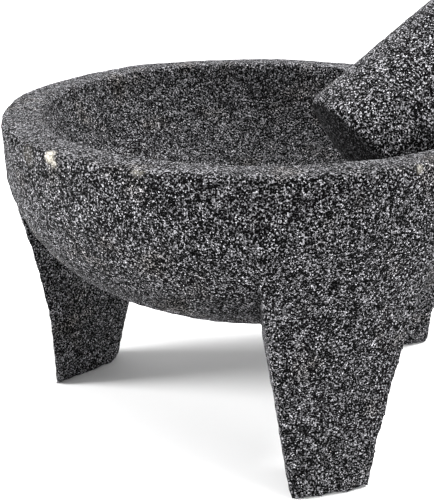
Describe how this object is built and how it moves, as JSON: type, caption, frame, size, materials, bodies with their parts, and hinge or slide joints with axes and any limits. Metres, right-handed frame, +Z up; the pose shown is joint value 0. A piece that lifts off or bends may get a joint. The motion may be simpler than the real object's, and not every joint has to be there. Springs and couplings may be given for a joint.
{
  "type": "stone mortar and pestle",
  "caption": "Molcajete: a deep round basalt mortar on stout tapering legs carved from the same block, with its tejolote (pestle) leaning in the bowl.",
  "frame": {"origin": "on the surface the mortar stands on, under the middle of the whole object's box; the bowl's own axis stands at x = -12.2 mm, y = 0", "axes": "+Z up, out of the bowl's mouth; +X towards the side the tejolote leans over; -Y towards the foremost leg"},
  "size_m": [0.2284, 0.204, 0.1994],
  "materials": {
    "basalt_mortar": "matte",
    "basalt_tejolote": "matte"
  },
  "bodies": {
    "mortar": {"mortar": "basalt_mortar"},
    "tejolote": {"tejolote": "basalt_tejolote"}
  },
  "joints": [
    {"name": "tejolote_lift", "type": "slide", "parent": "mortar", "child": "tejolote", "axis": [0, 0, 1], "range_m": [0, 0.12]}
  ]
}
